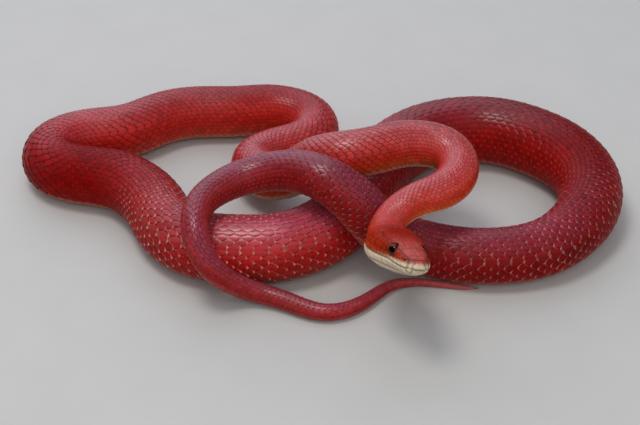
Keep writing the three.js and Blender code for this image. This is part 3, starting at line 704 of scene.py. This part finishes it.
def headPlates(p, out):  # how deep each place lies inside a plate
    x, y, z = p[:, 0], np.abs(p[:, 1]), p[:, 2]
    fromTop, fromSide, fromFront = (np.stack(pair, 1) for pair in ((x, y), (x, z), (p[:, 1], z)))
    upper = (out[:, 2] > 0.28) & (z > 5)
    flankSide = (y > 2.2) & (np.abs(out[:, 1]) > 0.3) & ~(out[:, 2] > 0.93)
    under = (out[:, 2] < -0.3) & (z < 2.4)
    front = (out[:, 0] > 0.35) & (x > 34)
    places = [(fromTop, outline, upper) for outline in headForm["topPlates"].values()]
    places += [(fromSide, outline, flankSide) for outline in headForm["sidePlates"].values()]
    places += [(fromTop, outline, under) for outline in headForm["chinPlates"].values()]
    places += [(fromFront, headForm[name], front) for name in ("rostral", "mental")]

    def lipPlates(ends, lowAt, highAt):
        for x0, x1 in zip(ends, ends[1:]):
            outline = [(x0, lowAt(x0)), (x0, highAt(x0)), (x1, highAt(x1)), (x1, lowAt(x1))]
            places.append((fromSide, outline, flankSide))

    mouth, clear = headForm["mouth"], headForm["lipClear"]
    lipPlates(headForm["upperLip"], lambda a: float(between(mouth, a)) + clear,
              lambda a: np.interp(a, (8, 34), headForm["lipTop"][::-1]))
    lipPlates(headForm["lowerLip"], lambda a: headForm["lipFoot"],
              lambda a: float(between(mouth, a)) - clear)
    depth = np.full(len(p), -9.0)
    for where, outline, valid in places:
        depth = np.maximum(depth, np.where(valid, insideOf(where, outline), -9.0))
    return depth


def headSkin(turns, step):  # rings of the finished head, from the tip of the snout back to the nape
    reach = headForm["stations"][-1][0]
    bulge = np.sin(np.linspace(1.47, 0, 9)) * headForm["snoutRound"]
    xs = np.concatenate([reach + bulge[:-1], np.arange(reach, 4.99, -step)])
    p = headRings(xs, np.arange(turns) / turns)
    dx = np.gradient(p, axis=0)
    dt = np.roll(p, -1, axis=1) - np.roll(p, 1, axis=1)
    out = unit(np.cross(dx, dt))
    shape = p.shape[:2]
    p, out = p.reshape(-1, 3), out.reshape(-1, 3)
    x, y, z = p[:, 0], np.abs(p[:, 1]), p[:, 2]
    depth = headPlates(p, out)
    t = np.clip((depth - headForm["plateGap"] / 2) / headForm["plateRound"], 0, 1)
    plated = t * (2 - t)
    rise = headForm["plateRise"] * plated
    # the shallow orbit, the brow and the hollow in front of the eye
    ex, ey, ez = headForm["eye"]
    beside = y > 3
    middle, reachX, reachZ, deep = headForm["orbit"]
    rise -= deep * smooth(1.15 - np.hypot((x - ex) / reachX, (z - middle) / reachZ)) * beside
    for mx, mz, reachX, reachZ, height in headForm["mounds"]:
        rise += height * np.exp(-(((x - mx) / reachX) ** 2 + ((z - mz) / reachZ) ** 2)) * beside
    # mouth: a groove along the line of the lips, with the lips a little full
    off = z - between(headForm["mouth"], x)
    mouthEnd, mouthSoft = headForm["mouthEnd"]
    started = smooth((x - mouthEnd) / mouthSoft)
    groove = np.exp(-(off / headForm["mouthWidth"]) ** 2) * started
    rise -= headForm["mouthDepth"] * groove
    full, fromLine, breadth = headForm["lipFull"]
    rise += full * np.exp(-((np.abs(off) - fromLine) / breadth) ** 2) * started
    # nostril
    nx, nz = headForm["nostril"]
    reachX, reachZ, deep, rimRise = headForm["nostrilShape"]
    far = np.hypot((x - nx) / reachX, (z - nz) / reachZ) / headForm["nostrilSize"]
    sideOn = y > 2.5
    rise -= np.where(sideOn, deep * smooth(1.25 - far), 0)
    rise += np.where(sideOn, rimRise * np.exp(-((far - 1.5) / 0.3) ** 2), 0)
    # eye: a ring of small scales stands round the eyeball, and the skin sinks behind it
    moved = p + out * rise[:, None]
    toEye = np.stack([moved[:, 0], np.abs(moved[:, 1]), moved[:, 2]], 1) - np.array([ex, ey, ez])
    r = np.linalg.norm(toEye, axis=1) - headForm["eyeRadius"]
    fromBall, breadth, ringRise, notch, count = headForm["eyeRing"]
    ring = np.exp(-((r - fromBall) / breadth) ** 2) * beside
    angle = np.arctan2(z - ez - 0.8, x - ex)
    moved += out * (ring * (ringRise - notch * (0.5 + 0.5 * np.cos(angle * count)) ** 8))[:, None]
    moved[:, 1] -= np.sign(p[:, 1]) * np.where(beside, smooth((0.16 - r) / 0.3) * 1.6, 0)
    # the seams between the plates are dark joints, darkened further as painted shade; the mouth's groove and
    # the nostril are darkened as painted shade
    seamShade = np.clip(1 - plated, 0, 1) * smooth((x - 7) / 2) * smooth((depth + 0.7) / 0.4)
    seamShade = np.maximum(seamShade, groove * headForm["mouthGrooveShade"])
    seamShade = np.where(sideOn, np.maximum(seamShade, smooth(1.3 - far)), seamShade)
    lip = smooth((between(headForm["paleTo"], x) - z) / headForm["paleFade"] + 0.5)
    return toModel(moved.reshape(*shape, 3)), xs, seamShade.reshape(shape), lip.reshape(shape)


# Scales of the back and sides
scaleForm = {
    "pitch": [(-12, 2.0), (0, 2.2), (40, 2.5), (110, 2.9), (200, 3.2), (300, 3.4), (400, 3.8), (450, 4.3),
              (500, 5.2), (560, 5.7), (640, 5.7), (760, 5.6), (880, 5.2), (930, 4.5), (970, 3.9), (1010, 3.4),
              (1050, 3.0), (1100, 2.7), (1150, 2.3), (1215, 1.7)],
    "fullPitch": 5.4,  # scales of this pitch or more stand up fully
    "rowsEachSide": 13,  # besides the row along the middle of the back
    "lowRows": (1.3, 1.18, 1.06),  # breadth of the lowest rows
    "bellyEdge": 0.168,  # how far round the scutes reach, of the whole girth
    # a row that begins (+) or ends (-) along the body: place, row counted from the belly
    "rowChanges": [(150, 7, 1), (790, 7, -1), (840, 6, -1), (890, 8, -1), (975, 5, -1), (1018, 9, -1),
                   (1036, 4, -1), (1054, 10, -1), (1075, 3, -1), (1102, 11, -1), (1138, 12, -1),
                   (1178, 2, -1)],
    "changeReach": 12,
    "slipReach": 50,  # how softly the rows above a change slip by half a scale
    "lengthShare": 0.53,  # how far a scale's tip reaches behind its middle, of the pitch
    "frontShare": 0.58,
    "rise": 0.36,  # how far the tip stands over the skin
    "rootShare": (0.1, 0.9),  # of that rise at the root, and how much comes on towards the tip
    "sink": 0.35,  # how far the walls go in
    "dome": 0.27,
    "stretch": 0.75,  # how much of a bend's stretch a scale keeps from following
    "uneven": {"width": 0.03, "length": 0.03, "place": 0.02, "rise": 0.06},
    # how strongly tips, rims and the skin between are pale, how strongly rims take the painted shade of the
    # gaps, and how strong the painted highlight on the middle of each scale is, along the body
    "paleTips": [(0, 0.3), (60, 0.4), (180, 0.2), (300, 0.12), (410, 0.05), (468, 0.08), (502, 1.0),
                 (560, 1.0), (610, 0.7), (680, 0.15), (780, 0.15), (830, 0.4), (880, 0.4), (930, 0.35),
                 (1000, 0.3), (1215, 0.2)],
    "paleRims": [(0, 0.3), (50, 0.4), (180, 0.25), (300, 0.12), (410, 0.03), (468, 0.05), (505, 0.5),
                 (550, 1.0), (600, 0.7), (680, 0.15), (780, 0.2), (830, 0.75), (880, 0.75), (920, 0.5),
                 (980, 0.3), (1215, 0.2)],
    "rimShadeAlong": [(0, 0.5), (30, 1.0), (180, 0.95), (300, 0.85), (440, 0.75), (500, 0.5), (560, 0.35),
                 (640, 0.6), (780, 0.6), (840, 0.35), (890, 0.45), (930, 0.8), (1120, 0.7), (1180, 0.3),
                 (1215, 0.2)],
    "crestHighlights": [(-12, 0.03), (8, 0.25), (30, 0.4), (180, 0.3), (240, 0.25), (280, 0.05), (340, 0.15),
                   (400, 0.12), (440, 0), (540, 0.3), (600, 0.15), (700, 0), (880, 0.1), (960, 0.1),
                   (1060, 0.15), (1215, 0.2)],
    "paleSkin": [(0, 0.5), (40, 0.1), (450, 0.1), (520, 0.4), (600, 0.4), (700, 0.2), (820, 0.6),
                 (880, 0.6), (930, 0.1), (1215, 0.1)],
    "pieceTriangles": 190000,
}

# The skin
skinForm = {"headTurns": 256, "headStep": 0.22, "neckTurns": 128, "bodyTurns": 64, "neckEnd": 42,
            "neckStep": 0.7, "bodyStep": 1.6, "underScales": 0.5, "bareSkinShade": 0.75}


def insetAt(s):  # how far the skin lies under the scales
    full = skinForm["underScales"] * np.clip(widthAt(s) / 30, 0.25, 1) ** 0.6
    return full * smooth((np.asarray(s) + 9.5) / 9)


def paleThroat(s, turn):  # the cream of the lips goes on a little behind the head
    return smooth(1 - (s + 10) / 16) * smooth((0.42 - heightRound(turn)) / 0.08)


def buildSkin():
    f = skinForm
    headPoints, headXs, headSeamShade, headLip = headSkin(f["headTurns"], f["headStep"])
    headS = -headXs * headScale
    neckS = np.arange(headS[-1] + f["neckStep"], f["neckEnd"], f["neckStep"])
    bodyS = np.append(np.arange(neckS[-1] + f["bodyStep"], bodyLength - 0.4, f["bodyStep"]), bodyLength - 0.3)
    points, faces, along, fromBelly, seamShade, lip, counts = [], [], [], [], [], [], []

    def addRings(p, s, turns, seamShadePart, lipPart):
        j = np.arange(turns)
        k = (j + 1) % turns
        for i in range(len(p)):
            before = counts[-1] if counts else 0
            start = sum(counts)
            last = start - before
            counts.append(turns)
            points.append(p[i])
            along.append(np.full(turns, alongAt(s[i])))
            fromBelly.append(heightRound(j / turns))
            seamShade.append(seamShadePart[i])
            lip.append(lipPart[i])
            if before == turns:
                faces.append(np.stack([last + j, start + j, start + k], 1))
                faces.append(np.stack([last + j, start + k, last + k], 1))
            elif before:  # two edges of the finer ring meet one of the coarser
                faces.append(np.stack([last + 2 * j, start + j, last + 2 * j + 1], 1))
                faces.append(np.stack([last + 2 * j + 1, start + j, start + k], 1))
                faces.append(np.stack([last + 2 * j + 1, start + k, last + (2 * j + 2) % before], 1))

    addRings(headPoints, headS, f["headTurns"], headSeamShade, headLip)
    for part, turns in ((neckS, f["neckTurns"]), (bodyS, f["bodyTurns"])):
        ss, tt = np.meshgrid(part, np.arange(turns) / turns, indexing="ij")
        p, out = onSnake(ss, tt, grid, gridOut)
        p = p - out * insetAt(ss)[..., None]
        # the skin between the body's scales takes the painted shade of the gaps
        addRings(p, part, turns, smooth((ss + 9) / 6) * f["bareSkinShade"], paleThroat(ss, tt))
    allPoints = np.concatenate(points)
    # close both ends with a fan
    tip = len(allPoints)
    first, last = counts[0], counts[-1]
    ends = [allPoints[:first].mean(0) + forward * 0.02, allPoints[-last:].mean(0)]
    allPoints = np.concatenate([allPoints, ends])
    j = np.arange(first)
    faces.append(np.stack([np.full(first, tip), j, (j + 1) % first], 1))
    j = np.arange(last)
    faces.append(np.stack([np.full(last, tip + 1), tip - last + (j + 1) % last, tip - last + j], 1))
    # every piece of data, and its value at the tips of the snout and the tail
    parts = {"along": (along, 0, 1), "fromBelly": (fromBelly, 0.3, 0.5), "seamShade": (seamShade, 0, 0),
             "lip": (lip, 1, 0)}
    values = {key: np.concatenate([*rings, [a, b]]) for key, (rings, a, b) in parts.items()}
    atS = values["along"] * wholeLength + headEnd
    values["paleSkin"] = np.where(atS < -2, 0, np.interp(atS, *zip(*scaleForm["paleSkin"])))
    skin = makePiece("snake_skin", allPoints, np.concatenate(faces), values, skinLook)
    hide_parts("head", "lower_jaw", "neck", *[f"trunk_{i}" for i in range(1, 9)], "tail_1", "tail_2")


buildSkin()

# One scale: runs from its front (-1) to its tip, and the half width at each
scaleOutline = [(-1.0, 0.62), (-0.45, 0.92), (0.0, 1.0), (0.3, 0.86), (0.58, 0.6), (0.8, 0.34), (0.95, 0.1)]
scaleColumns = [-1, -0.86, -0.45, 0, 0.45, 0.86, 1.0]


def scaleTemplate():  # of each point: along, across, height share, dome, rim, tip, whether it is a side wall
    runs, widths = np.array(scaleOutline).T
    cols = np.array(scaleColumns)
    r, c = len(runs), len(cols)
    a = np.repeat(runs, c)
    b = (widths[:, None] * cols).ravel()
    edge = np.tile(np.abs(cols), r)
    tall = np.where(edge > 0.95, 0.9, 1.0)
    dome = 1 - (np.tile(cols, r)) ** 2
    rear = smooth((a - 0.55) / 0.45)
    rim = np.maximum(np.clip((edge - 0.5) / 0.5, 0, 1) * smooth((a + 0.3) / 0.4), rear)
    tip = smooth((a - 0.66) / 0.25)
    faces = []
    for k in (i * c + j for i in range(r - 1) for j in range(c - 1)):
        faces += [(k, k + c, k + c + 1), (k, k + c + 1, k + 1)]
    # wall round both sides and the rear, down to the skin
    left = [i * c for i in range(1, r)]
    rearEdge = [(r - 1) * c + j for j in range(1, c)]
    right = [i * c + c - 1 for i in range(r - 2, 0, -1)]
    border = left + rearEdge + right
    top, n = len(a), len(border)
    a, b, tip = (np.concatenate([v, v[border], v[border]]) for v in (a, b, tip))
    tall, dome = (np.concatenate([v, v[border], np.zeros(n)]) for v in (tall, dome))
    rim = np.concatenate([rim, np.ones(2 * n)])
    side = np.concatenate([np.zeros(top), np.full(n, 0.3), np.ones(n)])
    for p in range(top, top + n - 1):
        faces += [(p, p + n, p + n + 1), (p, p + n + 1, p + 1)]
    return a, b, tall, dome, rim, tip, side, np.array(faces)


def scaleBeat(s):  # scales counted along the body at even small steps, and their pitch there
    pitch = between(scaleForm["pitch"], s)
    return np.concatenate([[0], np.cumsum(fineStep / pitch[1:])]), pitch


def scalePlaces():  # middle, pitch and half breadth of every scale: place along and turn round
    f = scaleForm
    s = np.arange(-12, bodyLength - 2, fineStep)
    beat, pitch = scaleBeat(s)
    rows = f["rowsEachSide"]
    share = np.ones((rows + 1, len(s)))
    slip = np.zeros((rows + 1, len(s)))
    share[:3] = np.array(f["lowRows"])[:, None]
    share[rows] = 0.5  # half of the row along the middle of the back
    for place, row, way in f["rowChanges"]:
        there = smooth((s - place + f["changeReach"] / 2) / f["changeReach"])
        share[row - 1] *= there if way > 0 else 1 - there
        slip[row:] += 0.5 * smooth((s - place + f["slipReach"] / 2) / f["slipReach"])
    total = share.sum(0)
    ends = np.cumsum(share, axis=0)
    spread = 0.5 - f["bellyEdge"]
    found = []
    for row in range(rows + 1):
        phase = beat + 0.5 * (row % 2) + slip[row]
        whole = np.arange(math.ceil(phase[0]), math.floor(phase[-1]) + 1)
        at = np.interp(whole, phase, s)
        there = np.interp(at, s, share[row])
        middle = np.interp(at, s, (ends[row] - (share[row] / 2 if row < rows else 0)) / total)
        turn = f["bellyEdge"] + middle * spread
        reach = np.interp(at, s, share[row] * (2 if row == rows else 1) / total) * spread
        keep = (there > 0.45) | (row == rows)
        block = np.stack([at, turn, np.interp(at, s, pitch), reach], 1)[keep]
        found.append(block)
        if row < rows:  # the same on the right side
            found.append(np.stack([block[:, 0], 1 - block[:, 1], *block[:, 2:].T], 1))
    return np.concatenate(found)


def onPlates(s, turn):  # the head's own plates keep these places
    p, = onSnake(s, turn, grid)
    local = (p - headPlace) / headScale
    x = local @ forward
    y, z = local @ headLeft, local @ headUp
    edge = np.select([z > 10.8, z > 7.2, z > 2.1], [9.0 + 0.22 * np.abs(y), 8.3, 6.8], 17.0)
    return x > edge - 0.3


def buildScales():
    f = scaleForm
    a, b, tall, dome, rim, tip, side, faces = scaleTemplate()
    places = scalePlaces()
    places = places[~onPlates(places[:, 0], places[:, 1])]
    places = places[np.argsort(places[:, 0], kind="stable")]
    n = len(places)
    s, turn, pitch, reach = places.T
    stretch, girth = onSnake(s, turn, gridStretch, gridGirth)
    uneven = f["uneven"]
    halfWidth = reach * girth * (1 + uneven["width"] * rng.standard_normal(n))
    follow = np.clip(stretch, 0.45, 2.5) ** (-f["stretch"])
    size = pitch * follow * (1 + uneven["length"] * rng.standard_normal(n))
    s = s + uneven["place"] * pitch * rng.standard_normal(n)
    small = np.clip(pitch / f["fullPitch"], 0.2, 1) ** 0.8
    rise = f["rise"] * small * (1 + uneven["rise"] * rng.standard_normal(n))
    runs = np.where(a > 0, a * f["lengthShare"] / 0.95, a * f["frontShare"])
    ss = s[:, None] + runs * size[:, None]
    tt = turn[:, None] + (b * halfWidth[:, None]) / girth[:, None]
    p, out = onSnake(ss, tt, grid, gridOut)
    least, more = f["rootShare"]
    ramp = least + more * np.clip((runs + f["frontShare"]) / (f["frontShare"] + f["lengthShare"]), 0, 1)
    lift = rise[:, None] * (ramp * tall - (tall == 0) * f["sink"])
    lift += f["dome"] * small[:, None] * dome * tall
    p = p + out * (lift - insetAt(ss))[..., None]

    def each(numbers):  # one number of each scale, for all its points
        return np.repeat(numbers[:, None], len(a), 1)

    def share(table, drawn=1.0):  # a strength along the body
        return each(np.interp(s, *zip(*f[table])) * drawn)

    values = {
        "along": alongAt(ss), "fromBelly": heightRound(tt % 1), "lip": each(paleThroat(s, turn)),
        "rim": np.tile(rim, (n, 1)), "tip": np.tile(tip, (n, 1)), "side": np.tile(side, (n, 1)),
        "tone": each(rng.random(n)), "paleShare": share("paleTips", 0.5 + 0.8 * rng.random(n)),
        "rimShare": share("paleRims", 0.6 + 0.6 * rng.random(n)),
        "crestHighlightShare": share("crestHighlights", 0.6 + 0.8 * rng.random(n)), "rimShadeShare": share("rimShadeAlong"),
    }
    # each scale's colours are kept in a small patch at its root's place on the unwrapped skin
    uv = np.empty((n, len(a), 2))
    uv[..., 0] = unwrapAlong(s)[:, None] + (runs / 1.2) * unwrap["patch"]
    uv[..., 1] = (turn % 1)[:, None] + b * unwrap["patch"] / 2
    perPiece = f["pieceTriangles"] // len(faces)
    for start in range(0, n, perPiece):
        part = slice(start, min(start + perPiece, n))
        firsts = np.arange(part.stop - part.start) * len(a)
        every = (faces[None] + firsts[:, None, None]).reshape(-1, 3)
        piece = makePiece(f"back_scales_{start // perPiece + 1}", p[part].reshape(-1, 3), every,
                          {key: numbers[part] for key, numbers in values.items()}, scaleLook,
                          uv[part].reshape(-1, 2))
    print(n, "scales")


buildScales()

# Broad scutes under the body
scuteForm = {
    "reach": 0.182, "columns": 24, "rise": 0.3, "overlap": 0.3, "first": 2,
    # lines across a scute: place from its front to its rear, height, rim, whether it is a wall
    "lines": [(0, 0.12, 0, 0), (0.35, 0.45, 0, 0), (0.7, 0.8, 0.1, 0), (0.92, 1.0, 0.7, 0),
              (1.0, 0.95, 1.0, 0.2), (1.0, -0.25, 1.0, 1.0)],
    "bow": (0.86, 0.14),  # length at the ends, and how much the middle adds
    "narrow": 0.05,  # how much narrower the front is
    "endSlope": 0.05,
    "splitSlope": 0.06,  # half the groove between the pairs under the tail
}


def buildScutes():
    f = scuteForm
    fine = np.arange(f["first"], bodyLength - 1, fineStep)
    beat, _ = scaleBeat(fine)
    starts = np.interp(np.arange(1, math.floor(beat[-1])), beat, fine)
    runs, tall, rim, side = (v[None, :, None] for v in np.array(f["lines"]).T)
    cols = np.linspace(-1, 1, f["columns"] + 1)
    n, m = len(starts), len(cols)
    size = between(scaleForm["pitch"], starts)[:, None, None]
    split = (starts > bodyForm["vent"])[:, None, None]
    # the rear edge bows back a little, and each end narrows forward
    atEnds, inMiddle = f["bow"]
    bow = atEnds + inMiddle * (1 - cols ** 2)
    ss = starts[:, None, None] + size * (1 + f["overlap"]) * runs * bow
    tt = np.broadcast_to(cols * f["reach"] * (1 - f["narrow"] * (1 - runs)), ss.shape)
    p, out = onSnake(ss, tt, grid, gridOut)
    height = f["rise"] * np.clip(size / scaleForm["fullPitch"], 0.25, 1) * tall
    endDrop = smooth((1 - np.abs(cols)) / f["endSlope"])
    middleDrop = np.where(split, smooth(np.abs(cols) / f["splitSlope"]), 1)
    lift = height * np.where(height > 0, endDrop * middleDrop, 1)
    p = p + out * (lift - insetAt(ss))[..., None]
    lines = len(f["lines"])
    base = (np.arange(lines - 1)[:, None] * m + np.arange(m - 1)[None, :]).ravel()
    one = np.concatenate([
        np.stack([base, base + m, base + m + 1], 1), np.stack([base, base + m + 1, base + 1], 1)])
    every = (one[None] + (np.arange(n) * lines * m)[:, None, None]).reshape(-1, 3)
    shape = ss.shape
    ends = 0.75 * smooth((np.abs(cols) - 0.93) / 0.07)
    values = {
        "along": alongAt(ss), "fromBelly": np.abs(tt) * 2, "lip": smooth(1 - (ss + 10) / 30),
        "rim": np.broadcast_to(np.maximum(rim, ends), shape), "side": np.broadcast_to(side, shape),
    }
    uv = np.empty((*shape, 2))
    uv[..., 0] = unwrapAlong(starts)[:, None, None] + runs * unwrap["patch"]
    uv[..., 1] = tt % 1 * 0.999
    piece = makePiece("belly_scutes", p.reshape(-1, 3), every, values, scuteLook, uv.reshape(-1, 2))
    print(n, "scutes")


buildScutes()

# Eyes
eyeForm = {"rings": 40, "turns": 64, "forward": 0.55, "up": 0.25}


def buildEye(name, place, outward):
    rings, turns = eyeForm["rings"], eyeForm["turns"]
    radius = headForm["eyeRadius"] * headScale
    axis = unit(np.array(outward, float))
    side = unit(np.cross(axis, headUp))
    top = np.cross(side, axis)
    tilt = np.linspace(0, math.pi, rings + 1)[1:-1]
    turn = np.arange(turns) * 2 * math.pi / turns
    ring = (np.cos(turn)[None, :, None] * side + np.sin(turn)[None, :, None] * top)
    p = place + radius * (np.cos(tilt)[:, None, None] * axis + np.sin(tilt)[:, None, None] * ring)
    away = np.repeat(tilt / headForm["eyeShown"], turns)
    points = np.concatenate([p.reshape(-1, 3), [place + radius * axis, place - radius * axis]])
    faces = []
    for i in range(len(tilt) - 1):
        for j in range(turns):
            k = (j + 1) % turns
            a, b = i * turns, (i + 1) * turns
            faces += [(a + j, a + k, b + k), (a + j, b + k, b + j)]
    count = len(tilt) * turns
    for j in range(turns):
        k = (j + 1) % turns
        faces.append((count, k, j))
        faces.append((count + 1, count - turns + j, count - turns + k))
    eye = makePiece(name + "_ball", points, faces, {"fromPupil": np.append(away, [0, 3])}, eyeLook)
    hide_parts(name)


for name, place, way in zip(("eye_left", "eye_right"), eyeInRoute, (1, -1)):
    buildEye(name, place, headLeft * way + forward * eyeForm["forward"] + headUp * eyeForm["up"])

# Floor, light and camera
stageLook = {
    "floor": (190, 189, 186),
    "floorReach": 4.0,
    "sky": (0.86, 0.92, 1.0),
    "skyStrength": 0.4,
    # size, power and colour of each panel, and whether it shows in the gloss
    "panels": {
        "skyPanel": ((-0.4, 1.15, 1.1), 2.2, 15.0, (0.86, 0.87, 1.0), True),
        "frontPanel": ((0.25, -1.3, 1.15), 1.5, 9.0, (1.0, 0.98, 0.95), False),
        "keyPanel": ((-0.3, -0.1, 1.3), 0.45, 6.0, (1.0, 0.98, 0.95), True),
    },
    "viewFrom": 0.7527,  # distance of the camera
    "viewElevation": 37.0,
    "viewAngle": 24.0,
    "viewCentre": (0.34, -0.57, 0.0),  # in the route's own plan, mm
}


def floorLooks(w):
    grain = w.rangeOf(w.noise(40.0, 4.0), 0.3, 0.7, 0.97, 1.0, soft=False)
    return {"Base Color": w.scaled(shade(*stageLook["floor"])[:3], grain)}


def buildStage():
    r = stageLook["floorReach"]
    mesh = bpy.data.meshes.new("floor")
    mesh.from_pydata([(-r, -r, 0), (r, -r, 0), (r, r, 0), (-r, r, 0)], [], [(0, 1, 2, 3)])
    mesh.materials.append(newMaterial("floorPaint", {"Roughness": 0.7}, floorLooks))
    floor = bpy.data.objects.new("floor", mesh)
    bpy.context.scene.collection.objects.link(floor)


def softLight(name, place, size, power, colour, sheen):
    data = bpy.data.lights.new(name, "AREA")
    data.shape = "DISK"
    data.size = size
    data.energy = power
    data.color = colour
    lamp = bpy.data.objects.new(name, data)
    lamp.location = place
    lamp.visible_glossy = sheen
    lamp.rotation_euler = (-Vector(place)).to_track_quat("-Z", "Y").to_euler()
    bpy.context.scene.collection.objects.link(lamp)


buildStage()
for name, settings in stageLook["panels"].items():
    softLight(name, *settings)

world = bpy.data.worlds.new("overcast")
bpy.context.scene.world = world
world.use_nodes = True
world.cycles_visibility.glossy = False
sky = world.node_tree.nodes["Background"].inputs
sky["Color"].default_value = (*stageLook["sky"], 1)
sky["Strength"].default_value = stageLook["skyStrength"]
bpy.context.scene.view_settings.view_transform = "Standard"

view = bpy.data.cameras.new("view")
view.sensor_width = 36
view.lens = 18 / math.tan(math.radians(stageLook["viewAngle"] / 2))
view.clip_start = 0.05
camera = bpy.data.objects.new("view", view)
tilt = math.radians(stageLook["viewElevation"])
centre = Vector((np.array(stageLook["viewCentre"]) - origin * (1, 1, 0)) * mm)
camera.location = centre + Vector((0, -math.cos(tilt), math.sin(tilt))) * stageLook["viewFrom"]
camera.rotation_euler = (centre - camera.location).to_track_quat("-Z", "Y").to_euler()
bpy.context.scene.collection.objects.link(camera)
bpy.context.scene.camera = camera
print("stage, light and camera ready")
